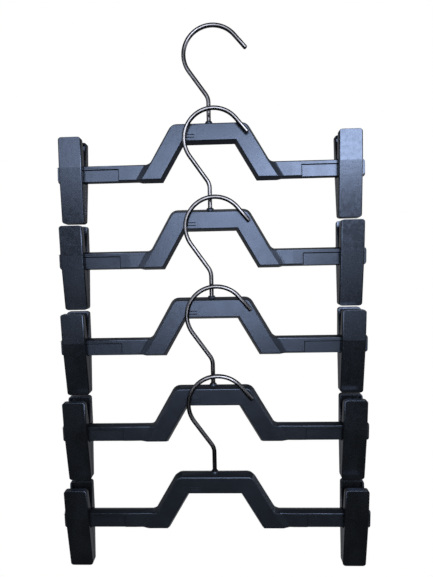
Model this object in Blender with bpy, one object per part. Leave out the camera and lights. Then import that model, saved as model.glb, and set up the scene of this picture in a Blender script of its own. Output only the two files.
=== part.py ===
"""A ladder of clip hangers: moulded frames with a raised arch, wire swivel hooks and sliding spring clips.

Metres, +Z up, front towards -Y. The origin is the seat of the top hook on its rail. The top hanger
hangs plumb. Each lower hanger leans forward, so that its hook lies on the face of the frame above it.
"""

import math

import bmesh
import bpy
from mathutils import Matrix

# The ladder
HANGERS = 5
PITCH = 0.0724
SEAT_GAP = 0.0003

# Frame: the outline of its front face
BAR_LENGTH = 0.254
BAR_HEIGHT = 0.0122
ARCH_HEIGHT = 0.0446
TOP_WIDTH = 0.0604
TOP_BAR_HEIGHT = 0.0137
LEG_ACROSS = 0.0157
LEG_LEAN = math.radians(30)
SHOULDER_RADIUS = 0.0055
CROTCH_RADIUS = 0.006
END_RADIUS = 0.0016

# Frame: its section, widest at the parting line half way through
ARCH_HALF_DEPTH = 0.0055
ARCH_DRAFT = 0.0022
BAR_HALF_DEPTH = 0.004
BAR_DRAFT = 0.0014
STEP_HALF_DEPTH = 0.0045
RAMP_LENGTH = 0.0116

# Frame: the rebate that a clip slides in
END_STOP = 0.0024
TRACK_INSET = 0.0087
TRACK_DEPTH = 0.001
TRACK_LIP = 0.0033
TRACK_DRAFT = 0.0007

# Frame: two moulded lines low on the left of the arch's face
MARK_LENGTH = 0.0085
MARK_HEIGHT = 0.0007
MARK_DEPTH = 0.0003
MARK_SPACING = 0.0023
MARK_RISE = 0.0023
MARK_OFFSET = 0.0118

# Hook: bent wire, and the boss and hole that it turns in
WIRE_RADIUS = 0.0018
LOOP_RADIUS = 0.0241
LOOP_RISE = 0.0595
LOOP_OFFSET = 0.0039
HOOK_SLOPE = math.radians(35)
NECK_RADIUS = 0.012
TIP_SLOPE = math.radians(50)
TIP_LENGTH = 0.015
STEM_DEPTH = 0.0095
HEAD_RADIUS = 0.0027
HEAD_HEIGHT = 0.0014
HEAD_CHAMFER = 0.0003
BOSS_RADIUS = 0.0032
BOSS_NECK_RADIUS = 0.0027
BOSS_HEIGHT = 0.001
BOSS_ROOT = 0.0015

# Clip: two like jaws that rock on the bar
CLIP_WIDTH = 0.0192
THUMB_RISE = 0.0294
BEND_RISE = 0.0045
TIP_DROP = 0.041
THUMB_REACH = 0.0096
BEND_REACH = 0.0088
TIP_REACH = 0.0038
JAW_WALL = 0.0014
JAW_SIDE = 0.0015
JAW_EDGE = 0.0006
JAW_CORNER = 0.0026
JAW_GAP = 0.0002
OPENING = math.radians(10)
GRIP_HEIGHT = 0.0075
TEETH = 4
TOOTH_DEPTH = 0.0006
NUB_HEIGHT = 0.0018
RIB_DROP = 0.012
RIB_OUTSIDE = 0.0026
RIB_THICKNESS = 0.0014
RIB_HEIGHT = 0.0016

# Spring: a steel strip bent over the bar inside each clip
SPRING_WIDTH = 0.008
SPRING_STRIP = 0.0006
SPRING_TAIL = 0.003
SPRING_TAIL_FLARE = 0.0005

# How finely curves are divided, and how far a cutter runs past what it cuts
OVERRUN = 0.004
WELD = 0.000001
ARC_STEPS = 4
LOOP_STEPS = 18
ROUND_SIDES = 16
WIRE_RESOLUTION = 3

# Worked out from the sizes above, from the middle of the bar's height
BAR_TOP = BAR_HEIGHT / 2
FACE_TOP = ARCH_HEIGHT - BAR_TOP
FACE_UNDERSIDE = FACE_TOP - TOP_BAR_HEIGHT
LEG_RUN = math.tan(LEG_LEAN)
LEG_FOOT = TOP_WIDTH / 2 + ARCH_HEIGHT * LEG_RUN
STEP_LENGTH = CROTCH_RADIUS * (1 - math.sin(LEG_LEAN)) / math.cos(LEG_LEAN)
RAMP_END = LEG_FOOT + RAMP_LENGTH
HALF_LENGTH = BAR_LENGTH / 2
TRACK_END = HALF_LENGTH - END_STOP
TRACK_START = RAMP_END + TRACK_INSET
TRACK_FLOOR = BAR_HALF_DEPTH - TRACK_DEPTH
TRACK_TOP = BAR_TOP - TRACK_LIP
CLIP_PLACE = TRACK_END - SEAT_GAP - CLIP_WIDTH / 2
LOOP_CENTRE = FACE_TOP + LOOP_RISE
HOOK_SEAT = LOOP_CENTRE + math.sqrt((LOOP_RADIUS - WIRE_RADIUS) ** 2 - LOOP_OFFSET**2)


def clear_scene():
    for old in list(bpy.data.objects):
        bpy.data.objects.remove(old, do_unlink=True)


def plastic(name, colour, roughness):
    return surface(name, colour, roughness, 0.0)


def surface(name, colour, roughness, metallic):
    material = bpy.data.materials.new(name)
    material.use_nodes = True
    shader = material.node_tree.nodes["Principled BSDF"]
    shader.inputs["Base Color"].default_value = (*colour, 1.0)
    shader.inputs["Roughness"].default_value = roughness
    shader.inputs["Metallic"].default_value = metallic
    return material


def arc(centre, radius, start, end, steps):
    """Points on a circle from one angle to another, both ends included."""
    turns = [start + (end - start) * i / steps for i in range(steps + 1)]
    return [(centre[0] + radius * math.cos(a), centre[1] + radius * math.sin(a)) for a in turns]


def mitre(first, second, distance):
    """How far a corner moves when both of its edges move out by distance."""
    scale = distance / (1 + first[0] * second[0] + first[1] * second[1])
    return ((first[0] + second[0]) * scale, (first[1] + second[1]) * scale)


def mesh_of(name, bm):
    bmesh.ops.remove_doubles(bm, verts=bm.verts, dist=WELD)
    bmesh.ops.dissolve_degenerate(bm, edges=bm.edges, dist=WELD)
    bmesh.ops.recalc_face_normals(bm, faces=bm.faces)
    mesh = bpy.data.meshes.new(name)
    bm.to_mesh(mesh)
    bm.free()
    return mesh


def loft(name, rings):
    """A closed skin through rings that hold the same number of points."""
    bm = bmesh.new()
    rows = [[bm.verts.new(point) for point in ring] for ring in rings]
    count = len(rows[0])
    for row, following in zip(rows, rows[1:]):
        for i in range(count):
            j = (i + 1) % count
            bm.faces.new((row[i], row[j], following[j], following[i]))
    bm.faces.new(rows[0])
    bm.faces.new(rows[-1])
    return mesh_of(name, bm)


def prism(name, outline, low, high):
    """An outline in Y and Z, carried along X."""
    return loft(name, [[(x, y, z) for y, z in outline] for x in (low, high)])


def block(name, low, high):
    outline = [(low[1], low[2]), (high[1], low[2]), (high[1], high[2]), (low[1], high[2])]
    return prism(name, outline, low[0], high[0])


def turned(name, outline):
    """An outline of radii and heights, turned about Z."""
    turns = [math.tau * i / ROUND_SIDES for i in range(ROUND_SIDES)]
    rings = [[(r * math.cos(a), r * math.sin(a), z) for a in turns] for r, z in outline]
    return loft(name, rings)


def joined(name, mesh, steps):
    """The mesh after each (operation, mesh) Boolean in steps, as one mesh."""
    body = bpy.data.objects.new(name, mesh)
    bpy.context.collection.objects.link(body)
    tools = []
    for operation, shape in steps:
        tool = bpy.data.objects.new(shape.name, shape)
        tool.hide_render = True
        tool.display_type = "WIRE"
        bpy.context.collection.objects.link(tool)
        tools.append(tool)
        modifier = body.modifiers.new(shape.name, "BOOLEAN")
        modifier.operation = operation
        modifier.solver = "EXACT"
        modifier.object = tool
    graph = bpy.context.evaluated_depsgraph_get()
    result = bpy.data.meshes.new_from_object(body.evaluated_get(graph))
    result.name = name
    for used in (body, *tools):
        bpy.data.objects.remove(used, do_unlink=True)
    return result


def ring(top, top_out, bottom, bottom_out, half_depth):
    """One six-sided section of the frame, from its two edges and how far the parting line stands out."""
    return [
        (top[0], -half_depth, top[1]),
        (top[0] + top_out[0], 0, top[1] + top_out[1]),
        (top[0], half_depth, top[1]),
        (bottom[0], half_depth, bottom[1]),
        (bottom[0] + bottom_out[0], 0, bottom[1] + bottom_out[1]),
        (bottom[0], -half_depth, bottom[1]),
    ]


def frame_sections():
    """The frame's right half, from the middle of the arch to the end of the bar."""
    up, down = (0, 1), (0, -1)
    outward = (math.cos(LEG_LEAN), math.sin(LEG_LEAN))
    inward = (-outward[0], -outward[1])
    arch_up = (0, ARCH_DRAFT)
    arch_down = (0, -ARCH_DRAFT)
    inside = mitre(down, inward, ARCH_DRAFT)
    sections = [ring((0, FACE_TOP), arch_up, (0, FACE_UNDERSIDE), arch_down, ARCH_HALF_DEPTH)]

    quarter = math.pi / 2
    tangent = math.tan((quarter - LEG_LEAN) / 2)
    shoulder = (TOP_WIDTH / 2 - SHOULDER_RADIUS * tangent, FACE_TOP - SHOULDER_RADIUS)
    armpit = (LEG_FOOT - LEG_ACROSS - (FACE_UNDERSIDE + BAR_TOP) * LEG_RUN, FACE_UNDERSIDE)
    normals = arc((0, 0), ARCH_DRAFT, quarter, LEG_LEAN, ARC_STEPS)
    curve = arc(shoulder, SHOULDER_RADIUS, quarter, LEG_LEAN, ARC_STEPS)
    for point, out in zip(curve, normals):
        sections.append(ring(point, out, armpit, inside, ARCH_HALF_DEPTH))

    corner = LEG_FOOT - BAR_HEIGHT * LEG_RUN
    crotch = (corner + CROTCH_RADIUS * tangent, BAR_TOP + CROTCH_RADIUS)
    curve = arc(crotch, -CROTCH_RADIUS, LEG_LEAN, quarter, ARC_STEPS)
    leg_out = (ARCH_DRAFT * outward[0], ARCH_DRAFT * outward[1])
    for foot, out in ((LEG_FOOT - LEG_ACROSS, inside), (LEG_FOOT, arch_down)):
        sections.append(ring(curve[0], leg_out, (foot, -BAR_TOP), out, ARCH_HALF_DEPTH))
    for i, point in enumerate(curve[1:], start=1):
        turn = (quarter - LEG_LEAN) * i / ARC_STEPS
        share = (1 - math.cos(turn)) / (1 - math.sin(LEG_LEAN))
        draft = ARCH_DRAFT + (BAR_DRAFT - ARCH_DRAFT) * share
        out = (draft * math.cos(LEG_LEAN + turn), draft * math.sin(LEG_LEAN + turn))
        depth = ARCH_HALF_DEPTH + (STEP_HALF_DEPTH - ARCH_HALF_DEPTH) * share
        foot = (LEG_FOOT + STEP_LENGTH * share, -BAR_TOP)
        sections.append(ring(point, out, foot, (0, -draft), depth))

    bar_up, bar_down = (0, BAR_DRAFT), (0, -BAR_DRAFT)
    rounding = HALF_LENGTH - END_RADIUS
    for x in (RAMP_END, rounding):
        sections.append(ring((x, BAR_TOP), bar_up, (x, -BAR_TOP), bar_down, BAR_HALF_DEPTH))
    curve = arc((rounding, BAR_TOP - END_RADIUS), END_RADIUS, quarter, 0, ARC_STEPS)[1:]
    normals = arc((0, 0), BAR_DRAFT, quarter, 0, ARC_STEPS)[1:]
    for (x, z), (lean, rise) in zip(curve, normals):
        sections.append(ring((x, z), (lean, rise), (x, -z), (lean, -rise), BAR_HALF_DEPTH))
    return sections


def frame_mesh():
    right = frame_sections()
    left = [[(-x, y, z) for x, y, z in section] for section in reversed(right[1:])]
    body = loft("frame_blank", left + right)
    steps = []
    under = -BAR_TOP - BAR_DRAFT - OVERRUN
    for side in (-1, 1):
        for face in (-1, 1):
            rings = []
            for cut, eased in ((TRACK_DEPTH, 0), (0, TRACK_DRAFT), (-OVERRUN, TRACK_DRAFT)):
                start, end = side * (TRACK_START - eased), side * TRACK_END
                corners = ((start, under), (end, under), (end, TRACK_TOP + eased), (start, TRACK_TOP + eased))
                rings.append([(x, face * (BAR_HALF_DEPTH - cut), z) for x, z in corners])
            steps.append(("DIFFERENCE", loft("track", rings)))

    for number in range(2):
        z = FACE_UNDERSIDE + MARK_RISE + number * MARK_SPACING
        low = (-MARK_OFFSET - MARK_LENGTH, -ARCH_HALF_DEPTH - OVERRUN, z)
        high = (-MARK_OFFSET, MARK_DEPTH - ARCH_HALF_DEPTH, z + MARK_HEIGHT)
        steps.append(("DIFFERENCE", block("mark", low, high)))

    ridge = FACE_TOP + ARCH_DRAFT
    boss = [(BOSS_RADIUS, ridge - BOSS_ROOT), (BOSS_RADIUS, ridge), (BOSS_NECK_RADIUS, ridge + BOSS_HEIGHT)]
    steps.append(("UNION", turned("boss", boss)))
    hole = WIRE_RADIUS + SEAT_GAP
    chamber = HEAD_RADIUS + SEAT_GAP
    chamber_top = FACE_TOP - STEM_DEPTH + HEAD_HEIGHT + SEAT_GAP
    well = [
        (chamber, FACE_TOP - STEM_DEPTH - SEAT_GAP),
        (chamber, chamber_top),
        (hole, chamber_top + HEAD_RADIUS - WIRE_RADIUS),
        (hole, ridge + BOSS_HEIGHT + OVERRUN),
    ]
    steps.append(("DIFFERENCE", turned("stem_hole", well)))
    return joined("frame", body, steps)


def hook_route():
    """The wire's centre line in X and Z with its width share: head, stem, neck, loop and tip."""
    foot = FACE_TOP - STEM_DEPTH
    head = HEAD_RADIUS / WIRE_RADIUS
    neck_top = foot + HEAD_HEIGHT
    chamfered = (HEAD_RADIUS - HEAD_CHAMFER) / WIRE_RADIUS
    route = [
        (0, foot, chamfered),
        (0, foot + HEAD_CHAMFER, head),
        (0, neck_top - HEAD_CHAMFER, head),
        (0, neck_top, 1),
    ]
    touch = math.pi + HOOK_SLOPE
    touch_x = LOOP_OFFSET + LOOP_RADIUS * math.cos(touch)
    touch_z = LOOP_CENTRE + LOOP_RADIUS * math.sin(touch)
    corner = touch_z + touch_x / math.tan(HOOK_SLOPE)
    bend_start = corner - NECK_RADIUS * math.tan(HOOK_SLOPE / 2)
    neck = arc((-NECK_RADIUS, bend_start), NECK_RADIUS, 0, HOOK_SLOPE, ARC_STEPS)
    loop = arc((LOOP_OFFSET, LOOP_CENTRE), LOOP_RADIUS, touch, math.pi / 2 - TIP_SLOPE, LOOP_STEPS)
    route += [(x, z, 1) for x, z in neck + loop]
    x, z = loop[-1]
    rounding = WIRE_RADIUS / 2
    for along, share in ((TIP_LENGTH - rounding, 1), (TIP_LENGTH - rounding / 2, 0.87), (TIP_LENGTH, 0.5)):
        route.append((x + along * math.cos(TIP_SLOPE), z - along * math.sin(TIP_SLOPE), share))
    return route


def hook_mesh():
    route = hook_route()
    curve = bpy.data.curves.new("hook_wire", "CURVE")
    curve.dimensions = "3D"
    curve.twist_mode = "MINIMUM"
    curve.bevel_depth = WIRE_RADIUS
    curve.bevel_resolution = WIRE_RESOLUTION
    curve.use_fill_caps = True
    spline = curve.splines.new("POLY")
    spline.points.add(len(route) - 1)
    for point, (x, z, share) in zip(spline.points, route):
        point.co = (x, 0, z, 1)
        point.radius = share
    return joined_curve("hook", curve)


def joined_curve(name, curve):
    wire = bpy.data.objects.new(name, curve)
    bpy.context.collection.objects.link(wire)
    graph = bpy.context.evaluated_depsgraph_get()
    mesh = bpy.data.meshes.new_from_object(wire.evaluated_get(graph))
    bpy.data.objects.remove(wire, do_unlink=True)
    bm = bmesh.new()
    bm.from_mesh(mesh)
    return mesh_of(name, bm)


def jaw_outside(height):
    """How far in front of the bar's middle the jaw's outer face is at a height."""
    if height > BEND_RISE:
        share = (height - BEND_RISE) / (THUMB_RISE - BEND_RISE)
        return BEND_REACH + (THUMB_REACH - BEND_REACH) * share
    share = (BEND_RISE - height) / (BEND_RISE + TIP_DROP)
    return BEND_REACH + (TIP_REACH - BEND_REACH) * share


def jaw_side_outline(trim):
    """The side of a front jaw in Y and Z: outer face, grip teeth, notch round the bar, thumb edge."""
    outer = [(trim - jaw_outside(z), z) for z in (THUMB_RISE, BEND_RISE, -TIP_DROP)]
    tooth = GRIP_HEIGHT / TEETH
    grip = []
    for i in range(TEETH):
        z = i * tooth - TIP_DROP
        grip += [(-JAW_GAP, z), (-JAW_GAP, z + tooth / 2), (-JAW_GAP - TOOTH_DEPTH, z + tooth * 3 / 4)]
    grip.append((-JAW_GAP, GRIP_HEIGHT - TIP_DROP))

    spread = math.tan(OPENING)
    notch = math.hypot(BAR_TOP + BAR_DRAFT, SEAT_GAP) + SEAT_GAP
    flat = BAR_HALF_DEPTH * math.cos(OPENING) + BAR_TOP * math.sin(OPENING) + SEAT_GAP
    edge = math.asin(flat / notch)
    low = arc((0, 0), notch, -math.pi / 2 - math.asin(JAW_GAP / notch), -math.pi / 2 - edge, ARC_STEPS)
    rim = math.pi / 2 + OPENING + math.asin(JAW_GAP / notch)
    high = arc((0, 0), notch, math.pi / 2 + edge, rim, ARC_STEPS)
    thumb = [(-JAW_GAP - THUMB_RISE * spread, THUMB_RISE)]
    return outer + grip + low + high + thumb


def jaw_mesh():
    """The front jaw, about the middle of the bar. The back jaw is the same moulding turned round."""
    half = CLIP_WIDTH / 2
    full, trimmed = jaw_side_outline(0), jaw_side_outline(JAW_EDGE)
    stations = ((-half, trimmed), (JAW_EDGE - half, full), (half - JAW_EDGE, full), (half, trimmed))
    body = loft("jaw_blank", [[(x, y, z) for y, z in outline] for x, outline in stations])

    inner = half - JAW_SIDE
    rim = THUMB_RISE - JAW_WALL
    floor = GRIP_HEIGHT - TIP_DROP
    hollow = [(JAW_WALL - jaw_outside(z), z) for z in (rim, BEND_RISE, floor)]
    hollow += [(OVERRUN, floor), (OVERRUN, rim)]
    steps = [("DIFFERENCE", prism("jaw_hollow", hollow, -inner, inner))]

    reach = THUMB_REACH + OVERRUN
    corners = []
    quarter = math.pi / 2
    for number, (x, z) in enumerate(((half, THUMB_RISE), (-half, THUMB_RISE), (-half, -TIP_DROP), (half, -TIP_DROP))):
        centre = (x - math.copysign(JAW_CORNER, x), z - math.copysign(JAW_CORNER, z))
        corners += arc(centre, JAW_CORNER, number * quarter, (number + 1) * quarter, ARC_STEPS - 1)
    plan = loft("jaw_plan", [[(x, y, z) for x, z in corners] for y in (-reach, OVERRUN)])
    steps.append(("INTERSECT", plan))

    rib_low = (-inner - JAW_SIDE / 2, -RIB_OUTSIDE, -RIB_DROP - RIB_HEIGHT / 2)
    rib_high = (inner + JAW_SIDE / 2, RIB_THICKNESS - RIB_OUTSIDE, RIB_HEIGHT / 2 - RIB_DROP)
    steps.append(("UNION", block("jaw_rib", rib_low, rib_high)))

    nose = TRACK_FLOOR + SEAT_GAP
    heel = jaw_outside(0) - JAW_WALL / 2
    nub = [(-heel, -NUB_HEIGHT / 2), (-heel, NUB_HEIGHT / 2), (-nose - NUB_HEIGHT / 2, NUB_HEIGHT / 2)]
    nub += [(-nose, NUB_HEIGHT / 4), (-nose, -NUB_HEIGHT / 4), (-nose - NUB_HEIGHT / 2, -NUB_HEIGHT / 2)]
    nub_inside = SPRING_WIDTH / 2 + SEAT_GAP
    for side in (-1, 1):
        ends = sorted((side * nub_inside, side * (half - JAW_EDGE)))
        steps.append(("UNION", prism("jaw_nub", nub, *ends)))
    return joined("jaw", body, steps)


def spring_mesh():
    """A strip over the bar whose legs press the ribs of both jaws together."""
    leg = BAR_HALF_DEPTH + SEAT_GAP + SPRING_STRIP / 2
    press = RIB_OUTSIDE + SEAT_GAP + SPRING_STRIP / 2
    tail = -RIB_DROP - SPRING_TAIL
    right = [(press + SPRING_TAIL_FLARE, tail), (press, -RIB_DROP), (leg, TRACK_TOP - SEAT_GAP)]
    crown = arc((0, BAR_TOP), leg, 0, math.pi, ARC_STEPS * 2)
    line = right + crown + [(-y, z) for y, z in reversed(right)]
    sides = ([], [])
    for i, (y, z) in enumerate(line):
        before, after = line[max(i - 1, 0)], line[min(i + 1, len(line) - 1)]
        run, rise = after[0] - before[0], after[1] - before[1]
        shift = SPRING_STRIP / 2 / math.hypot(run, rise)
        sides[0].append((y - rise * shift, z + run * shift))
        sides[1].append((y + rise * shift, z - run * shift))
    rings = []
    for (y0, z0), (y1, z1) in zip(*sides):
        half = SPRING_WIDTH / 2
        rings.append([(-half, y0, z0), (half, y0, z0), (half, y1, z1), (-half, y1, z1)])
    return loft("spring", rings)


def lean_under(lean):
    """How far a hanger leans when its hook rests on the face of a frame that leans by lean."""
    out = ARCH_HALF_DEPTH * math.cos(lean) + FACE_UNDERSIDE * math.sin(lean)
    up = PITCH + FACE_UNDERSIDE * math.cos(lean) - ARCH_HALF_DEPTH * math.sin(lean)
    return math.atan2(out, up) + math.asin((WIRE_RADIUS + SEAT_GAP) / math.hypot(out, up))


def place(name, mesh, material, parent, spot=(0, 0, 0), turn=0.0):
    piece = bpy.data.objects.new(name, mesh)
    piece.data.materials.clear()
    piece.data.materials.append(material)
    piece.data.shade_smooth()
    piece.data.set_sharp_from_angle(angle=math.radians(30))
    piece.parent = parent
    piece.matrix_local = Matrix.Translation(spot) @ Matrix.Rotation(turn, 4, "Z")
    bpy.context.collection.objects.link(piece)
    return piece


def empty(name, parent, matrix):
    holder = bpy.data.objects.new(name, None)
    holder.parent = parent
    holder.matrix_local = matrix
    bpy.context.collection.objects.link(holder)
    return holder


def make_ladder():
    clear_scene()
    frame, hook, jaw, spring = frame_mesh(), hook_mesh(), jaw_mesh(), spring_mesh()
    frame_plastic = plastic("frame_plastic", (0.022, 0.024, 0.030), 0.42)
    clip_plastic = plastic("clip_plastic", (0.016, 0.018, 0.022), 0.36)
    chrome = surface("hook_chrome", (0.62, 0.61, 0.62), 0.16, 1.0)
    steel = surface("spring_steel", (0.45, 0.45, 0.46), 0.32, 1.0)

    lean = 0.0
    for number in range(1, HANGERS + 1):
        drop = HOOK_SEAT + (number - 1) * PITCH
        stance = Matrix.Translation((0, 0, -drop)) @ Matrix.Rotation(lean, 4, "X")
        hanger = empty(f"hanger_{number}", None, stance)
        place(f"frame_{number}", frame, frame_plastic, hanger)
        place(f"hook_{number}", hook, chrome, hanger)
        for side, sign in (("left", -1), ("right", 1)):
            clip = empty(f"{side}_clip_{number}", hanger, Matrix.Translation((sign * CLIP_PLACE, 0, 0)))
            place(f"{side}_front_jaw_{number}", jaw, clip_plastic, clip)
            place(f"{side}_back_jaw_{number}", jaw, clip_plastic, clip, turn=math.pi)
            place(f"{side}_spring_{number}", spring, steel, clip)
        lean = lean_under(lean)


make_ladder()
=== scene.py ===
"""Looks of the ladder of clip hangers: black moulded plastic, plated wire hooks and steel strip springs."""

import math

import bmesh
import bpy
from mathutils import Matrix, Vector


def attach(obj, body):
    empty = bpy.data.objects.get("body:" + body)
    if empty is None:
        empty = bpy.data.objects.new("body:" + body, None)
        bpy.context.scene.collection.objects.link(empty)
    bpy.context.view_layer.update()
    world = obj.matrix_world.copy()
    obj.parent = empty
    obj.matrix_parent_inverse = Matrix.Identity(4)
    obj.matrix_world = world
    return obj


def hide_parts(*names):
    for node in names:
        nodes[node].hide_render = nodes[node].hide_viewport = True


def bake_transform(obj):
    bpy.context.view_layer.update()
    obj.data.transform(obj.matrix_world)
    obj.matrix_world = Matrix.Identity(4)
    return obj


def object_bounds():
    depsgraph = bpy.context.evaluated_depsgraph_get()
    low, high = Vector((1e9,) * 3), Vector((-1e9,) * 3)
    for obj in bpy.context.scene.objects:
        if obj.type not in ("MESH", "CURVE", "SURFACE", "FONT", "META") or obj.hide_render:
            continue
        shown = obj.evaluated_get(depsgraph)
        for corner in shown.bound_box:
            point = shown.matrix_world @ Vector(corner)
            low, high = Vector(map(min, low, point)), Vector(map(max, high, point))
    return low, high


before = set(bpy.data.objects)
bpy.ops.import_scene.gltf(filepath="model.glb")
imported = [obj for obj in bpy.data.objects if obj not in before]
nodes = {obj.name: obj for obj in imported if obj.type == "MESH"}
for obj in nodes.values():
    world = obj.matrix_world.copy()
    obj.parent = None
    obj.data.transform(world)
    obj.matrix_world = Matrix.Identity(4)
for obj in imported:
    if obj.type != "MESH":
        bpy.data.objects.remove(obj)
cad_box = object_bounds()
scene = bpy.context.scene

# Camera
# A phone's wide lens about 35 cm in front of the middle hanger, held by hand a degree or two off square.
# Its place and angles were fitted to the hangers' corners in the photograph.
IMAGE_HEIGHT = 577
FOCAL_PIXELS = 416.0
SENSOR_HEIGHT = 36.0
NEAREST_SEEN = 0.01
CAMERA_PLACE = (0.0156, -0.3478, -0.2150)
CAMERA_YAW = math.radians(1.915)
CAMERA_PITCH = math.radians(-0.39)
CAMERA_ROLL = math.radians(-1.034)

lens = bpy.data.cameras.new("photo_lens")
lens.sensor_fit = "VERTICAL"
lens.sensor_height = SENSOR_HEIGHT
lens.lens = FOCAL_PIXELS / IMAGE_HEIGHT * SENSOR_HEIGHT
lens.clip_start = NEAREST_SEEN
camera = bpy.data.objects.new("photo_camera", lens)
scene.collection.objects.link(camera)
facing_back = Matrix(((1, 0, 0), (0, 0, -1), (0, 1, 0))).to_4x4()
tilt = Matrix.Rotation(CAMERA_PITCH, 4, "X") @ Matrix.Rotation(CAMERA_ROLL, 4, "Z")
camera.matrix_world = (
    Matrix.Translation(CAMERA_PLACE) @ Matrix.Rotation(CAMERA_YAW, 4, "Z") @ facing_back @ tilt
)
scene.camera = camera
scene.view_settings.view_transform = "Standard"

# Frames
# Black polypropylene, moulded in two halves of a tool that meet at the ridge all round the section. Each is
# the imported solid's own skin with the tool's small round on its edges and the foot of each step set deeper.
# The ejector pins' discs in the clip tracks and the outline of the tool's insert on the arch are added.
HANGERS = 5
PITCH = 0.0724
SEAT_GAP = 0.0003
WIRE_RADIUS = 0.0018
LOOP_RADIUS = 0.0241
LOOP_RISE = 0.0595
LOOP_OFFSET = 0.0039
FACE_TOP = 0.0385
TOP_BAR_HEIGHT = 0.0137
FACE_UNDERSIDE = FACE_TOP - TOP_BAR_HEIGHT
ARCH_HALF_DEPTH = 0.0055
LOOP_CENTRE = FACE_TOP + LOOP_RISE
HOOK_SEAT = LOOP_CENTRE + math.sqrt((LOOP_RADIUS - WIRE_RADIUS) ** 2 - LOOP_OFFSET**2)


def stances():
    """Where each hanger stands: the first plumb, the others leaning under the frame above."""
    lean = 0.0
    found = []
    for number in range(HANGERS):
        drop = HOOK_SEAT + number * PITCH
        found.append(Matrix.Translation((0, 0, -drop)) @ Matrix.Rotation(lean, 4, "X"))
        out = ARCH_HALF_DEPTH * math.cos(lean) + FACE_UNDERSIDE * math.sin(lean)
        up = PITCH + FACE_UNDERSIDE * math.cos(lean) - ARCH_HALF_DEPTH * math.sin(lean)
        lean = math.atan2(out, up) + math.asin((WIRE_RADIUS + SEAT_GAP) / math.hypot(out, up))
    return found


MERGE_REACH = 0.00001
FLAT_BEND = math.radians(0.3)


def merged_skin(node_name, to_local):
    """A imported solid's skin in its own frame, with the doubled points merged and the flats made whole."""
    bm = bmesh.new()
    bm.from_mesh(nodes[node_name].data)
    bmesh.ops.transform(bm, matrix=to_local, verts=bm.verts)
    bmesh.ops.remove_doubles(bm, verts=bm.verts, dist=MERGE_REACH)
    bmesh.ops.dissolve_limit(bm, angle_limit=FLAT_BEND, verts=bm.verts, edges=bm.edges)
    bm.normal_update()
    return bm


def only(piece):
    """Makes piece the one selected object and the active one."""
    bpy.ops.object.select_all(action="DESELECT")
    piece.select_set(True)
    bpy.context.view_layer.objects.active = piece


ROUND_SEGMENTS = 3
SLIVER = 0.000002


def finished_blank(name, bm, rounded, creased, width):
    """An object from bm, smooth but for its creases, with the rounded edges beveled to width."""
    weights = bm.edges.layers.float.new("bevel_weight_edge")
    for face in bm.faces:
        face.smooth = True
    for edge in bm.edges:
        if len(edge.link_faces) != 2:
            continue
        edge[weights] = rounded(edge)
        edge.smooth = not creased(edge)
    mesh = bpy.data.meshes.new(name)
    bm.to_mesh(mesh)
    bm.free()
    blank = bpy.data.objects.new(name, mesh)
    scene.collection.objects.link(blank)
    rounds = blank.modifiers.new("rounds", "BEVEL")
    rounds.limit_method = "WEIGHT"
    rounds.width = width
    rounds.segments = ROUND_SEGMENTS
    rounds.use_clamp_overlap = False
    rounds.harden_normals = True
    only(blank)
    bpy.ops.object.modifier_apply(modifier=rounds.name)
    bpy.ops.object.mode_set(mode="EDIT")
    bpy.ops.mesh.select_all(action="SELECT")
    bpy.ops.mesh.remove_doubles(threshold=SLIVER)
    bpy.ops.object.mode_set(mode="OBJECT")
    return blank


def copied(pattern, name, stance, material):
    """A copy of the pattern at its place on the ladder, with its own mesh."""
    mesh = pattern.data.copy()
    mesh.transform(stance)
    mesh.materials.clear()
    mesh.materials.append(material)
    piece = bpy.data.objects.new(name, mesh)
    scene.collection.objects.link(piece)
    return piece


def set_out(pattern, name, stance, node_name, material):
    """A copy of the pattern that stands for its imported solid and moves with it."""
    piece = copied(pattern, name, stance, material)
    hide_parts(node_name)
    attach(piece, node_name)


MARK_FROM = (-0.0207, FACE_UNDERSIDE + 0.0018)
MARK_TO = (-0.0113, FACE_UNDERSIDE + 0.0058)
MARK_RISE = 0.0023
MARK_SPACING = 0.0023
MARK_HEIGHT = 0.0007
MARK_DEPTH = 0.0003
MARK_FLOOR_REACH = MARK_DEPTH / 3


def in_mark(edge):
    """True on the two small lines that are sunk in the arch's face."""
    return all(
        MARK_FROM[0] < v.co.x < MARK_TO[0] and MARK_FROM[1] < v.co.z < MARK_TO[1] for v in edge.verts
    )


def sharpened_marks(bm):
    """Draws the floors of the two sunk lines together, so that each line is a V."""
    floor = MARK_DEPTH - ARCH_HALF_DEPTH
    for number in range(2):
        middle = FACE_UNDERSIDE + MARK_RISE + MARK_SPACING * number + MARK_HEIGHT / 2
        for vert in bm.verts:
            if abs(vert.co.y - floor) < MARK_FLOOR_REACH and abs(vert.co.z - middle) < MARK_HEIGHT:
                if MARK_FROM[0] - MARK_HEIGHT < vert.co.x < MARK_TO[0] + MARK_HEIGHT:
                    vert.co.z = middle
                    vert.co.y = floor + MARK_DEPTH / 2
    bmesh.ops.remove_doubles(bm, verts=bm.verts, dist=MERGE_REACH)
    bm.normal_update()
    return bm


STEP_HALF_DEPTH = 0.0045
STEP_REGION = (0.040, 0.0620)
STEP_BLEND = 0.0018
FOOT_SINK = 0.0007
FOOT_SHIFT = 0.0018
LEAST_SHARE = 0.01


def sunk_feet(bm):
    """Deepens and widens each step in proportion, so that the bar's face falls a little towards the leg."""
    drop = ARCH_HALF_DEPTH - STEP_HALF_DEPTH
    for vert in bm.verts:
        share = (ARCH_HALF_DEPTH - abs(vert.co.y)) / drop
        on_step = STEP_REGION[0] < abs(vert.co.x) < STEP_REGION[1]
        if on_step and LEAST_SHARE < share < 1 + LEAST_SHARE:
            vert.co.x += math.copysign(FOOT_SHIFT * share, vert.co.x)
            vert.co.y -= math.copysign(FOOT_SINK * share, vert.co.y)
    bm.normal_update()
    return bm


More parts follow.
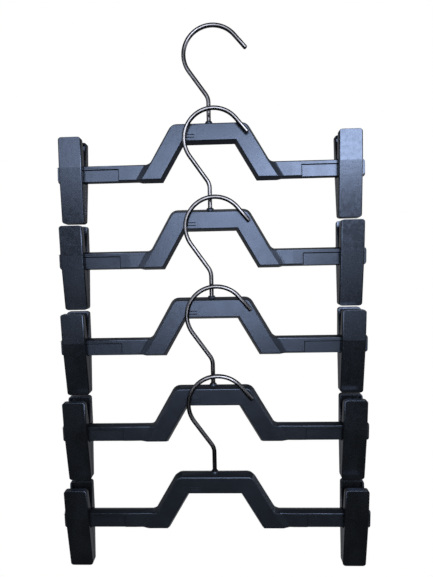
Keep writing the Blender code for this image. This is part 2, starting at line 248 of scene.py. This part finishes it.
# Bends, corners and creases are in degrees between two faces, here and in the sections below.
FRAME_ROUND = 0.0006
TRACK_START = 0.07625
TRACK_SIDE = TRACK_START - 0.0008
TRACK_HALF_DEPTH = 0.0041
BAR_END = 0.125
BORE_REACH = 0.0034
FACE_SQUARENESS = 0.86
FOOT_SLANT = 0.002
FOOT_BEND = 6.0
LEAST_CORNER = 35.0
FINE_ROUND_SHARE = 0.15
WALL_ROUND_SHARE = 0.2
FOLD_RUN = 0.0005
FOLD_CREASE = 0.8
FACE_CREASE = 17.0
WALL_CREASE = 32.0


def face_angle(edge):
    return math.degrees(edge.calc_face_angle(0.0))


def on_face(face):
    """True for the moulding's front and back faces, false for its drafted walls."""
    return abs(face.normal.y) > FACE_SQUARENESS


def frame_rounded(edge):
    """Each edge's share of the widest round, which blends the foot of the arch's step into the bar."""
    first, second = edge.link_faces
    low = all(abs(v.co.y) < STEP_HALF_DEPTH for v in edge.verts)
    slanted = abs(edge.verts[0].co.x - edge.verts[1].co.x) > FOOT_SLANT
    if on_face(first) and on_face(second) and low and slanted and face_angle(edge) > FOOT_BEND:
        return 1.0
    if in_mark(edge) or face_angle(edge) < LEAST_CORNER:
        return 0.0
    if min(math.hypot(v.co.x, v.co.y) for v in edge.verts) < BORE_REACH:
        return 0.0
    small = FRAME_ROUND / STEP_BLEND
    if on_face(first) != on_face(second):
        in_track = all(abs(v.co.y) < TRACK_HALF_DEPTH and abs(v.co.x) > TRACK_SIDE for v in edge.verts)
        at_end = any(abs(v.co.x) > BAR_END for v in edge.verts)
        return small * (FINE_ROUND_SHARE if in_track or at_end else 1.0)
    return small * WALL_ROUND_SHARE


def frame_creased(edge):
    """True where the shading breaks: at a wall, at a slight fold across the bar and at a clear step."""
    first, second = edge.link_faces
    if on_face(first) and on_face(second):
        across = abs(edge.verts[0].co.x - edge.verts[1].co.x) < FOLD_RUN
        return face_angle(edge) > (FOLD_CREASE if across else FACE_CREASE)
    return face_angle(edge) > WALL_CREASE


def eased(width):
    """Breaks every edge of the active object by width, once its place is in its mesh."""
    bpy.ops.object.transform_apply(location=True, rotation=True, scale=True)
    bpy.ops.object.mode_set(mode="EDIT")
    bpy.ops.mesh.select_all(action="SELECT")
    bpy.ops.mesh.bevel(offset=width, segments=1, affect="EDGES")
    bpy.ops.object.mode_set(mode="OBJECT")
    return bpy.context.object


INSERT_FROM = (-0.0262, FACE_UNDERSIDE + 0.0011)
INSERT_TO = (-0.0098, FACE_TOP - 0.0012)
INSERT_LINE = 0.0003
INSERT_PROUD = 0.00008
INSERT_ROOT = 0.0003
INSERT_EASE = INSERT_PROUD * 0.4


def eased_bar(low, high):
    """A thin strip with its edges eased, laid on a face of the moulding."""
    bpy.ops.object.select_all(action="DESELECT")
    middle = [(a + b) / 2 for a, b in zip(low, high)]
    bpy.ops.mesh.primitive_cube_add(size=1, location=middle, scale=[b - a for a, b in zip(low, high)])
    return eased(INSERT_EASE)


TRACK_FLOOR = 0.003
EJECTOR_RADIUS = 0.0011
EJECTOR_SIDES = 24
EJECTOR_PROUD = 0.00008
EJECTOR_DEPTH = 0.0004
EJECTOR_EASE = EJECTOR_PROUD * 0.6
EJECTOR_HEIGHT = -0.0012
EJECTOR_PLACES = (TRACK_START + 0.0042, TRACK_START + 0.0230)


def witness_disc(x, face):
    """The low disc that an ejector pin leaves on the track floor, eased round its rim."""
    bpy.ops.object.select_all(action="DESELECT")
    bpy.ops.mesh.primitive_cylinder_add(
        vertices=EJECTOR_SIDES,
        radius=EJECTOR_RADIUS,
        depth=EJECTOR_DEPTH,
        location=(x, face * (TRACK_FLOOR + EJECTOR_PROUD - EJECTOR_DEPTH / 2), EJECTOR_HEIGHT),
        rotation=(math.pi / 2 * face, 0, 0),
    )
    return eased(EJECTOR_EASE)


stands = stances()
frame_skin = sunk_feet(sharpened_marks(merged_skin("frame_1", stands[0].inverted())))
frame_blank = finished_blank("frame_blank", frame_skin, frame_rounded, frame_creased, STEP_BLEND)
# The wide blend pushes one corner of each step 0.08 mm past the face, so that corner is set back onto it.
for vert in frame_blank.data.vertices:
    vert.co.y = max(-ARCH_HALF_DEPTH, min(ARCH_HALF_DEPTH, vert.co.y))
details = []
for place_x in EJECTOR_PLACES:
    for side in (-1, 1):
        for face in (-1, 1):
            details.append(witness_disc(side * place_x, face))
line_low, line_high = -ARCH_HALF_DEPTH - INSERT_PROUD, INSERT_ROOT - ARCH_HALF_DEPTH
for x in (INSERT_FROM[0], INSERT_TO[0]):
    low = (x - INSERT_LINE / 2, line_low, INSERT_FROM[1])
    details.append(eased_bar(low, (x + INSERT_LINE / 2, line_high, INSERT_TO[1])))
for z in (INSERT_FROM[1], INSERT_TO[1]):
    low = (INSERT_FROM[0], line_low, z - INSERT_LINE / 2)
    details.append(eased_bar(low, (INSERT_TO[0], line_high, z + INSERT_LINE / 2)))
only(frame_blank)
for detail in details:
    detail.select_set(True)
bpy.ops.object.join()


def new_material(name):
    """A material with its node tree and its one shader."""
    material = bpy.data.materials.new(name)
    material.use_nodes = True
    tree = material.node_tree
    return material, tree, tree.nodes["Principled BSDF"]


def add(tree, kind, settings=None, **values):
    """A node with its settings and its inputs, an underscore standing for a blank."""
    made = tree.nodes.new(kind)
    for key, value in (settings or {}).items():
        setattr(made, key, value)
    for key, value in values.items():
        made.inputs[key.replace("_", " ")].default_value = value
    return made


def link(tree, source, output, target, socket):
    tree.links.new(source.outputs[output], target.inputs[socket])


def noise(tree, scale, detail=3.0, stretch=(1, 1, 1), roughness=0.5):
    """Noise on the object's own coordinates; scale is per metre."""
    place = add(tree, "ShaderNodeTexCoord")
    mapping = add(tree, "ShaderNodeMapping")
    mapping.inputs["Scale"].default_value = stretch
    made = add(tree, "ShaderNodeTexNoise", Scale=scale, Detail=detail, Roughness=roughness)
    link(tree, place, "Object", mapping, "Vector")
    link(tree, mapping, "Vector", made, "Vector")
    return made


def remap(tree, source, output, span, wanted):
    """The part of the output that lies in span, spread over the wanted span."""
    made = add(tree, "ShaderNodeMapRange")
    for socket, value in zip(("From Min", "From Max", "To Min", "To Max"), (*span, *wanted)):
        made.inputs[socket].default_value = value
    link(tree, source, output, made, "Value")
    return made


def combined(tree, operation, first, second):
    """A Math node; each input is a number or a (node, output) pair."""
    made = add(tree, "ShaderNodeMath", {"operation": operation})
    for index, value in enumerate((first, second)):
        if isinstance(value, tuple):
            link(tree, value[0], value[1], made, index)
        else:
            made.inputs[index].default_value = value
    return made


MIX_INPUTS = (6, 7)
MIX_RESULT = 2


def blended(tree, factor, output, first, second):
    """A colour mix; first and second are colours or (node, output) pairs."""
    made = add(tree, "ShaderNodeMix", {"data_type": "RGBA"})
    link(tree, factor, output, made, 0)
    for index, value in zip(MIX_INPUTS, (first, second)):
        if isinstance(value[0], float):
            made.inputs[index].default_value = (*value, 1.0)
        else:
            link(tree, value[0], value[1], made, index)
    return made


def bumps(tree, shader, layers):
    """Chained bumps: (node, output, depth in metres), from the coarsest to the finest."""
    last = None
    for source, output, depth in layers:
        bump = add(tree, "ShaderNodeBump", Strength=1.0, Distance=depth)
        link(tree, source, output, bump, "Height")
        if last:
            link(tree, last, "Normal", bump, "Normal")
        last = bump
    link(tree, last, "Normal", shader, "Normal")


SHEEN_TINT = (0.56, 0.68, 1.0)
PLASTIC_IOR = 1.5
WHOLE = (0.0, 1.0)
FLOW_STRETCH = (1.0, 1.0, 0.5)
FLOW_SPAN = (0.35, 0.65)
CLOUD_FINENESS = 4.5
CLOUD_SPAN = (0.35, 0.68)
WAVE_FINENESS = 170.0
WAVE_DEPTH = 0.00005
GRAIN_FINENESS = 2600.0
GRAIN_DEPTH = 0.000004
HAIR_FINENESS = 380.0
HAIR_STRETCH = (0.10, 1.0, 2.2)
HAIR_ROUGHNESS = 0.7
HAIR_SPAN = (0.66, 0.76)
HAIR_DEPTH = 0.000012
HAIR_DULLING = 0.05
DUST_FINENESS = 1500.0
DUST_SPAN = (0.74, 0.80)
DUST_SHARE = 0.35
DUST_PALENESS = 4.0
DUST_LEAST = 0.01


def moulded_plastic(name, dark, light, gloss, dull, blotch):
    """Blue-black plastic: flow marks in the gloss, fine grain, faint waves, hair scratches and dust."""
    material, tree, shader = new_material(name)
    flow = noise(tree, blotch, 3.0, FLOW_STRETCH)
    cloud = noise(tree, blotch * CLOUD_FINENESS, 4.0)
    grain = noise(tree, GRAIN_FINENESS, 2.0)
    wave = noise(tree, WAVE_FINENESS, 2.0)
    hair = noise(tree, HAIR_FINENESS, 5.0, HAIR_STRETCH, HAIR_ROUGHNESS)
    dust = noise(tree, DUST_FINENESS, 1.0)

    tone = remap(tree, flow, "Fac", FLOW_SPAN, WHOLE)
    body = blended(tree, tone, "Result", dark, light)
    specks = remap(tree, dust, "Fac", DUST_SPAN, (0.0, DUST_SHARE))
    pale = tuple(part * DUST_PALENESS + DUST_LEAST for part in light)
    dusty = blended(tree, specks, "Result", (body, MIX_RESULT), pale)
    link(tree, dusty, MIX_RESULT, shader, "Base Color")

    base = remap(tree, cloud, "Fac", CLOUD_SPAN, (gloss, dull))
    scratched = remap(tree, hair, "Fac", HAIR_SPAN, (0.0, HAIR_DULLING))
    rough = combined(tree, "ADD", (base, "Result"), (scratched, "Result"))
    link(tree, rough, "Value", shader, "Roughness")
    shader.inputs["IOR"].default_value = PLASTIC_IOR
    shader.inputs["Specular Tint"].default_value = (*SHEEN_TINT, 1.0)
    layers = [(wave, "Fac", WAVE_DEPTH), (hair, "Fac", HAIR_DEPTH), (grain, "Fac", GRAIN_DEPTH)]
    bumps(tree, shader, layers)
    return material


FRAME_DARK = (0.0048, 0.0055, 0.0068)
FRAME_LIGHT = (0.0066, 0.0076, 0.0098)
FRAME_GLOSS = 0.28
FRAME_DULL = 0.33
FRAME_BLOTCH = 24.0
frame_plastic = moulded_plastic(
    "frame_moulding", FRAME_DARK, FRAME_LIGHT, FRAME_GLOSS, FRAME_DULL, FRAME_BLOTCH
)
for number, stance in enumerate(stands, start=1):
    name = f"frame_{number}"
    set_out(frame_blank, f"moulded_{name}", stance, name, frame_plastic)

# Hooks
# Plated steel wire, 3.6 mm, cut square and deburred at the tip. The foot is upset into a head that
# holds it in the frame; the wire is bent at the neck and rolled into the open loop.
HOOK_SLOPE = math.radians(35)
NECK_RADIUS = 0.012
TIP_SLOPE = math.radians(50)
TIP_LENGTH = 0.015
STEM_DEPTH = 0.0095
HEAD_RADIUS = 0.0027
HEAD_HEIGHT = 0.0014
HEAD_CHAMFER = 0.0003
WIRE_SIDES = 28
NECK_STEPS = 10
LOOP_STEPS = 56
TIP_ROUND = WIRE_RADIUS / 2
TIP_ROUND_SHARES = ((1.0, 1.0), (0.55, 0.94), (0.2, 0.82), (0.0, 0.60))
SPIN_JOIN = 0.000001
HOOK_CREASE = 40.0


def pull(x, z):
    """Draws the open end of the wire on by (x, z)."""
    bpy.ops.mesh.extrude_region_move(TRANSFORM_OT_translate={"value": (x, 0, z)})


def swell(share, x, z):
    """Scales the open end about its middle."""
    bpy.ops.transform.resize(value=(share, share, share), center_override=(x, 0, z))


def bend(x, z, angle, steps):
    """Bends the wire on round a centre; positive turns from +Z towards +X."""
    bpy.ops.mesh.spin(steps=steps, angle=angle, center=(x, 0, z), axis=(0, -1, 0))


def bent_hook():
    """One hook, drawn from the head in the frame along the wire to the rounded tip."""
    foot = FACE_TOP - STEM_DEPTH
    start_radius = HEAD_RADIUS - HEAD_CHAMFER
    bpy.ops.object.select_all(action="DESELECT")
    bpy.ops.mesh.primitive_circle_add(vertices=WIRE_SIDES, radius=start_radius, location=(0, 0, foot))
    hook = bpy.context.object
    hook.name = "hook_blank"
    bpy.ops.object.mode_set(mode="EDIT")
    bpy.ops.mesh.select_all(action="SELECT")
    pull(0, HEAD_CHAMFER)
    swell(HEAD_RADIUS / start_radius, 0, foot + HEAD_CHAMFER)
    pull(0, HEAD_HEIGHT - 2 * HEAD_CHAMFER)
    pull(0, HEAD_CHAMFER)
    swell(WIRE_RADIUS / HEAD_RADIUS, 0, foot + HEAD_HEIGHT)

    touch = math.pi + HOOK_SLOPE
    touch_x = LOOP_OFFSET + LOOP_RADIUS * math.cos(touch)
    touch_z = LOOP_CENTRE + LOOP_RADIUS * math.sin(touch)
    corner = touch_z + touch_x / math.tan(HOOK_SLOPE)
    neck = corner - NECK_RADIUS * math.tan(HOOK_SLOPE / 2)
    pull(0, neck - foot - HEAD_HEIGHT)
    bend(-NECK_RADIUS, neck, -HOOK_SLOPE, NECK_STEPS)
    end_x = NECK_RADIUS * (math.cos(HOOK_SLOPE) - 1)
    end_z = neck + NECK_RADIUS * math.sin(HOOK_SLOPE)
    pull(touch_x - end_x, touch_z - end_z)
    bend(LOOP_OFFSET, LOOP_CENTRE, touch - (math.pi / 2 - TIP_SLOPE), LOOP_STEPS)

    x = LOOP_OFFSET + LOOP_RADIUS * math.sin(TIP_SLOPE)
    z = LOOP_CENTRE + LOOP_RADIUS * math.cos(TIP_SLOPE)
    run, share = 0.0, 1.0
    for short, wanted in TIP_ROUND_SHARES:
        step = TIP_LENGTH - TIP_ROUND * short - run
        run += step
        x += step * math.cos(TIP_SLOPE)
        z -= step * math.sin(TIP_SLOPE)
        pull(step * math.cos(TIP_SLOPE), -step * math.sin(TIP_SLOPE))
        swell(wanted / share, x, z)
        share = wanted
    bpy.ops.object.mode_set(mode="OBJECT")
    hook.data.transform(hook.matrix_world)
    hook.matrix_world = Matrix.Identity(4)

    bm = bmesh.new()
    bm.from_mesh(hook.data)
    bmesh.ops.remove_doubles(bm, verts=bm.verts, dist=SPIN_JOIN)
    bmesh.ops.holes_fill(bm, edges=[edge for edge in bm.edges if edge.is_boundary], sides=WIRE_SIDES)
    bmesh.ops.recalc_face_normals(bm, faces=bm.faces)
    for face in bm.faces:
        face.smooth = True
    for edge in bm.edges:
        edge.smooth = face_angle(edge) < HOOK_CREASE
    bm.to_mesh(hook.data)
    bm.free()
    return hook


PLATE_BRIGHT = (0.105, 0.102, 0.112)
PLATE_DULL = (0.07, 0.067, 0.073)
PLATE_ROUGHNESS = (0.20, 0.30)
SMEAR_FINENESS = 160.0
SMEAR_TONE_SPAN = (0.35, 0.7)
SMEAR_GLOSS_SPAN = (0.3, 0.7)
DRAWN_FINENESS = 3200.0
DRAWN_STRETCH = (1.0, 1.0, 0.25)
DRAWN_DEPTH = 0.000006


def plated_wire():
    """Darkened nickel plate with a drawn grain, slight smears and dulled patches."""
    material, tree, shader = new_material("plated_wire")
    smear = noise(tree, SMEAR_FINENESS, 4.0)
    drawn = noise(tree, DRAWN_FINENESS, 3.0, DRAWN_STRETCH)
    tone = remap(tree, smear, "Fac", SMEAR_TONE_SPAN, WHOLE)
    plate = blended(tree, tone, "Result", PLATE_BRIGHT, PLATE_DULL)
    link(tree, plate, MIX_RESULT, shader, "Base Color")
    shader.inputs["Metallic"].default_value = 1.0
    rough = remap(tree, smear, "Fac", SMEAR_GLOSS_SPAN, PLATE_ROUGHNESS)
    link(tree, rough, "Result", shader, "Roughness")
    bumps(tree, shader, [(drawn, "Fac", DRAWN_DEPTH)])
    return material


wire_metal = plated_wire()
hook_blank = bent_hook()
for number, stance in enumerate(stands, start=1):
    name = f"hook_{number}"
    set_out(hook_blank, f"wire_{name}", stance, name, wire_metal)

# Springs
# Bare spring steel strip, 8 by 0.6 mm, folded over the bar inside each clip; its sheared edges are eased.
# Each strip is made as two legs that meet at the top of the fold.
STRIP_ROUND = 0.0001
STRIP_CORNER = 60.0
STRIP_CREASE = 35.0
FOLD_MARGIN = 0.00003
FLEX_FROM = 0.0
FLEX_TO = -0.0108
FLEX_CUTS = 11
CLIP_WIDTH = 0.0192
TRACK_END = 0.1246
CLIP_PLACE = TRACK_END - SEAT_GAP - CLIP_WIDTH / 2
SIDES = (("left", -1), ("right", 1))
FACES = (("front", 0.0), ("back", math.pi))


def clip_stance(stance, sign):
    """Where a clip stands on its hanger, pushed out to the end of its track."""
    return stance @ Matrix.Translation((sign * CLIP_PLACE, 0, 0))


def front_leg(bm):
    """Keeps the strip's front leg, cut off at the top of the fold and closed, with cuts across it at even
    heights down the leg.
    """
    cuts = [((0, 0, 0), (0, 1, 0), True)]
    for number in range(FLEX_CUTS + 1):
        height = FLEX_FROM + (FLEX_TO - FLEX_FROM) * number / FLEX_CUTS
        cuts.append(((0, 0, height), (0, 0, 1), False))
    for place, normal, clear in cuts:
        parts = bm.verts[:] + bm.edges[:] + bm.faces[:]
        bmesh.ops.bisect_plane(bm, geom=parts, plane_co=place, plane_no=normal, clear_outer=clear)
    bmesh.ops.holes_fill(bm, edges=[edge for edge in bm.edges if edge.is_boundary])
    bm.normal_update()
    return bm


def strip_rounded(edge):
    """Rounds the sheared corners, but not the cut where the two legs meet."""
    at_fold = all(abs(v.co.y) < FOLD_MARGIN for v in edge.verts)
    return 1.0 if face_angle(edge) > STRIP_CORNER and not at_fold else 0.0


def strip_creased(edge):
    return face_angle(edge) > STRIP_CREASE


STEEL_BRIGHT = (0.46, 0.45, 0.45)
STEEL_GREY = (0.32, 0.31, 0.31)
STEEL_ROUGHNESS = (0.24, 0.42)
STEEL_SPAN = (0.3, 0.7)
PATCH_FINENESS = 240.0
BRUSHED_FINENESS = 1500.0
BRUSHED_STRETCH = (4.0, 0.3, 0.15)
BRUSHED_DEPTH = 0.000008


def strip_material():
    """Steel brushed along the strip, with greyer patches."""
    material, tree, shader = new_material("spring_strip")
    brushed = noise(tree, BRUSHED_FINENESS, 4.0, BRUSHED_STRETCH)
    patch = noise(tree, PATCH_FINENESS, 3.0)
    tone = remap(tree, patch, "Fac", STEEL_SPAN, WHOLE)
    steel = blended(tree, tone, "Result", STEEL_BRIGHT, STEEL_GREY)
    link(tree, steel, MIX_RESULT, shader, "Base Color")
    shader.inputs["Metallic"].default_value = 1.0
    rough = remap(tree, brushed, "Fac", STEEL_SPAN, STEEL_ROUGHNESS)
    link(tree, rough, "Result", shader, "Roughness")
    bumps(tree, shader, [(brushed, "Fac", BRUSHED_DEPTH)])
    return material


to_clip = clip_stance(stands[0], -1).inverted()
leg_skin = front_leg(merged_skin("left_spring_1", to_clip))
leg_blank = finished_blank("leg_blank", leg_skin, strip_rounded, strip_creased, STRIP_ROUND)
spring_steel = strip_material()
for number, stance in enumerate(stands, start=1):
    for side, sign in SIDES:
        for face, turn in FACES:
            turned = clip_stance(stance, sign) @ Matrix.Rotation(turn, 4, "Z")
            leg = copied(leg_blank, f"steel_{side}_{face}_leg_{number}", turned, spring_steel)
            spring, jaw = f"{side}_spring_{number}", f"{side}_{face}_jaw_{number}"
            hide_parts(spring)
            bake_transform(leg)

# Clips
# Two like jaws, hollow mouldings of the same black plastic with a finer, blotchy gloss. The outer plate
# breaks at the bar into thumb plate and gripping plate, and every outside edge has a small round.
JAW_ROUND = 0.0004
PLATE_SQUARENESS = 0.97
PLATE_AREA = 0.00001
JAW_CORNER = 20.0
JAW_SIDE = CLIP_WIDTH / 2 - 0.0007
JAW_SIDE_CORNER = 38.0
JAW_SIDE_LENGTH = 0.002
JAW_SIDE_SHARE = 0.5
PLATE_CREASE = 1.0
JAW_CREASE = 32.0


def on_plate(face):
    """True for the two halves of the outer plate."""
    return face.normal.y < -PLATE_SQUARENESS and face.calc_area() > PLATE_AREA


def jaw_rounded(edge):
    """Rounds the rim of the outer plate and the outside corners, and leaves the teeth and ribs crisp."""
    angle = face_angle(edge)
    if angle < JAW_CORNER:
        return 0.0
    if any(on_plate(face) for face in edge.link_faces):
        return 1.0
    outside = all(abs(v.co.x) > JAW_SIDE for v in edge.verts)
    long = edge.calc_length() > JAW_SIDE_LENGTH
    return JAW_SIDE_SHARE if outside and long and angle > JAW_SIDE_CORNER else 0.0


def jaw_creased(edge):
    """True where the shading breaks, which on the outer plate is the slight bend at the bar."""
    if all(on_plate(face) for face in edge.link_faces):
        return face_angle(edge) > PLATE_CREASE
    return face_angle(edge) > JAW_CREASE


# These colours are darker than the frames' for the same plastic: painted shade, for the jaws' downward-facing
# plates.
CLIP_SHADED_DARK = (0.0030, 0.0033, 0.0037)
CLIP_SHADED_LIGHT = (0.0046, 0.0051, 0.0060)
CLIP_GLOSS = 0.22
CLIP_DULL = 0.29
CLIP_BLOTCH = 75.0
jaw_skin = merged_skin("left_front_jaw_1", to_clip)
jaw_blank = finished_blank("jaw_blank", jaw_skin, jaw_rounded, jaw_creased, JAW_ROUND)
clip_plastic = moulded_plastic("clip_moulding", CLIP_SHADED_DARK, CLIP_SHADED_LIGHT, CLIP_GLOSS, CLIP_DULL, CLIP_BLOTCH)
for number, stance in enumerate(stands, start=1):
    for side, sign in SIDES:
        for face, turn in FACES:
            name = f"{side}_{face}_jaw_{number}"
            turned = clip_stance(stance, sign) @ Matrix.Rotation(turn, 4, "Z")
            set_out(jaw_blank, f"moulded_{name}", turned, name, clip_plastic)

for used in (frame_blank, hook_blank, leg_blank, jaw_blank):
    bpy.data.objects.remove(used, do_unlink=True)

# Studio
# A window-like light behind the camera at the right and a tall pale wall in the middle, with weaker lights
# at the left and low down, a dim wall at each side and one light from the right. White is seen all round,
# and the floor is pale. The sky that shiny things mirror is dim, so that black plastic stays dark.
WINDOW_COLOUR = (0.90, 0.95, 1.0)
WALL_COLOUR = (0.88, 0.94, 1.0)


def soft_light(name, colour, place, aim, width, height, watts):
    """A flat lamp at place, turned to the ladder's middle line at the height aim."""
    lamp = bpy.data.lights.new(name, "AREA")
    lamp.shape = "RECTANGLE"
    lamp.size = width
    lamp.size_y = height
    lamp.energy = watts
    lamp.color = colour
    made = bpy.data.objects.new(name, lamp)
    made.location = place
    target = Vector((0.0, 0.0, aim))
    made.rotation_euler = (target - Vector(place)).to_track_quat("-Z", "Y").to_euler()
    scene.collection.objects.link(made)


soft_light("window", WINDOW_COLOUR, (0.50, -1.42, 0.215), aim=-0.15, width=0.56, height=0.51, watts=21.0)
soft_light("wall_glow", WALL_COLOUR, (0.02, -1.42, -0.10), aim=-0.20, width=0.50, height=1.1, watts=19.0)
soft_light("left_glow", WALL_COLOUR, (-0.48, -1.42, 0.24), aim=-0.15, width=0.60, height=0.68, watts=7.9)
soft_light("low_glow", WALL_COLOUR, (0.0, -1.42, -0.61), aim=-0.25, width=1.5, height=0.30, watts=2.6)
soft_light("left_wall", WALL_COLOUR, (-1.25, -0.85, 0.15), aim=-0.15, width=0.50, height=0.90, watts=4.5)
soft_light("right_wall", WALL_COLOUR, (1.25, -0.85, 0.15), aim=-0.15, width=0.50, height=0.90, watts=2.5)
soft_light("side_fill", WINDOW_COLOUR, (1.5, 0.15, 0.1), aim=-0.2, width=0.6, height=0.6, watts=6.0)

AIR_COLOUR = (0.80, 0.88, 1.0, 1.0)
AIR_STRENGTH = 0.02
SKY_COLOUR = (0.92, 0.95, 1.0, 1.0)
SKY_RISE = (-0.15, 0.55)
SKY_STRENGTH = (0.03, 0.35)
SKY_TURN = (0.25, 0.85)
SKY_SIDE_SHARES = (0.10, 0.8)
BEHIND_TURN = (0.1, 0.6)
BEHIND_STRENGTH = (0.0, 0.28)
WHITE = (1.0, 1.0, 1.0, 1.0)
world = bpy.data.worlds.new("studio_air")
world.use_nodes = True
scene.world = world
tree = world.node_tree
air = tree.nodes["Background"]
air.inputs["Color"].default_value = AIR_COLOUR
air.inputs["Strength"].default_value = AIR_STRENGTH
white = add(tree, "ShaderNodeBackground", Color=WHITE, Strength=1.0)
path = add(tree, "ShaderNodeLightPath")
straight = combined(tree, "MAXIMUM", (path, "Is Camera Ray"), (path, "Is Transmission Ray"))

# The mirrored sky by direction: brighter upwards, dim to the sides, and even behind the ladder.
direction = add(tree, "ShaderNodeTexCoord")
axes = add(tree, "ShaderNodeSeparateXYZ")
link(tree, direction, "Generated", axes, "Vector")
rise = remap(tree, axes, "Z", SKY_RISE, SKY_STRENGTH)
depth = combined(tree, "ABSOLUTE", (axes, "Y"), 0.0)
facing = remap(tree, depth, "Value", SKY_TURN, SKY_SIDE_SHARES)
above = combined(tree, "MULTIPLY", (rise, "Result"), (facing, "Result"))
behind = remap(tree, axes, "Y", BEHIND_TURN, BEHIND_STRENGTH)
seen = combined(tree, "MAXIMUM", (above, "Value"), (behind, "Result"))
mirrored = add(tree, "ShaderNodeBackground", Color=SKY_COLOUR)
link(tree, seen, "Value", mirrored, "Strength")

dim = add(tree, "ShaderNodeMixShader")
link(tree, path, "Is Glossy Ray", dim, 0)
link(tree, air, 0, dim, 1)
link(tree, mirrored, 0, dim, 2)
choose = add(tree, "ShaderNodeMixShader")
link(tree, straight, "Value", choose, 0)
link(tree, dim, 0, choose, 1)
link(tree, white, 0, choose, 2)
link(tree, choose, 0, tree.nodes["World Output"], "Surface")

FLOOR_DROP = 0.09
FLOOR_REACH = 6.0
FLOOR_COLOUR = (0.90, 0.90, 0.91, 1.0)
FLOOR_ROUGHNESS = 0.9
SHADOW_REACH = (0.02, 0.11)
SHADOW_GLOW = (0.5, 1.0)
bpy.ops.object.select_all(action="DESELECT")
bpy.ops.mesh.primitive_plane_add(size=2 * FLOOR_REACH, location=(0, 0, cad_box[0][2] - FLOOR_DROP))
floor = bpy.context.object
floor.name = "floor"
pale, tree, shader = new_material("pale_floor")
shader.inputs["Base Color"].default_value = FLOOR_COLOUR
shader.inputs["Roughness"].default_value = FLOOR_ROUGHNESS
glow = add(tree, "ShaderNodeEmission", Color=WHITE, Strength=1.0)
place = add(tree, "ShaderNodeTexCoord")
spread = add(tree, "ShaderNodeVectorMath", {"operation": "LENGTH"})
link(tree, place, "Object", spread, 0)
fade = remap(tree, spread, "Value", SHADOW_REACH, SHADOW_GLOW)
mixed = add(tree, "ShaderNodeMixShader")
link(tree, fade, "Result", mixed, 0)
link(tree, shader, 0, mixed, 1)
link(tree, glow, 0, mixed, 2)
link(tree, mixed, 0, tree.nodes["Material Output"], "Surface")
floor.data.materials.append(pale)
floor.visible_diffuse = False
floor.visible_glossy = False
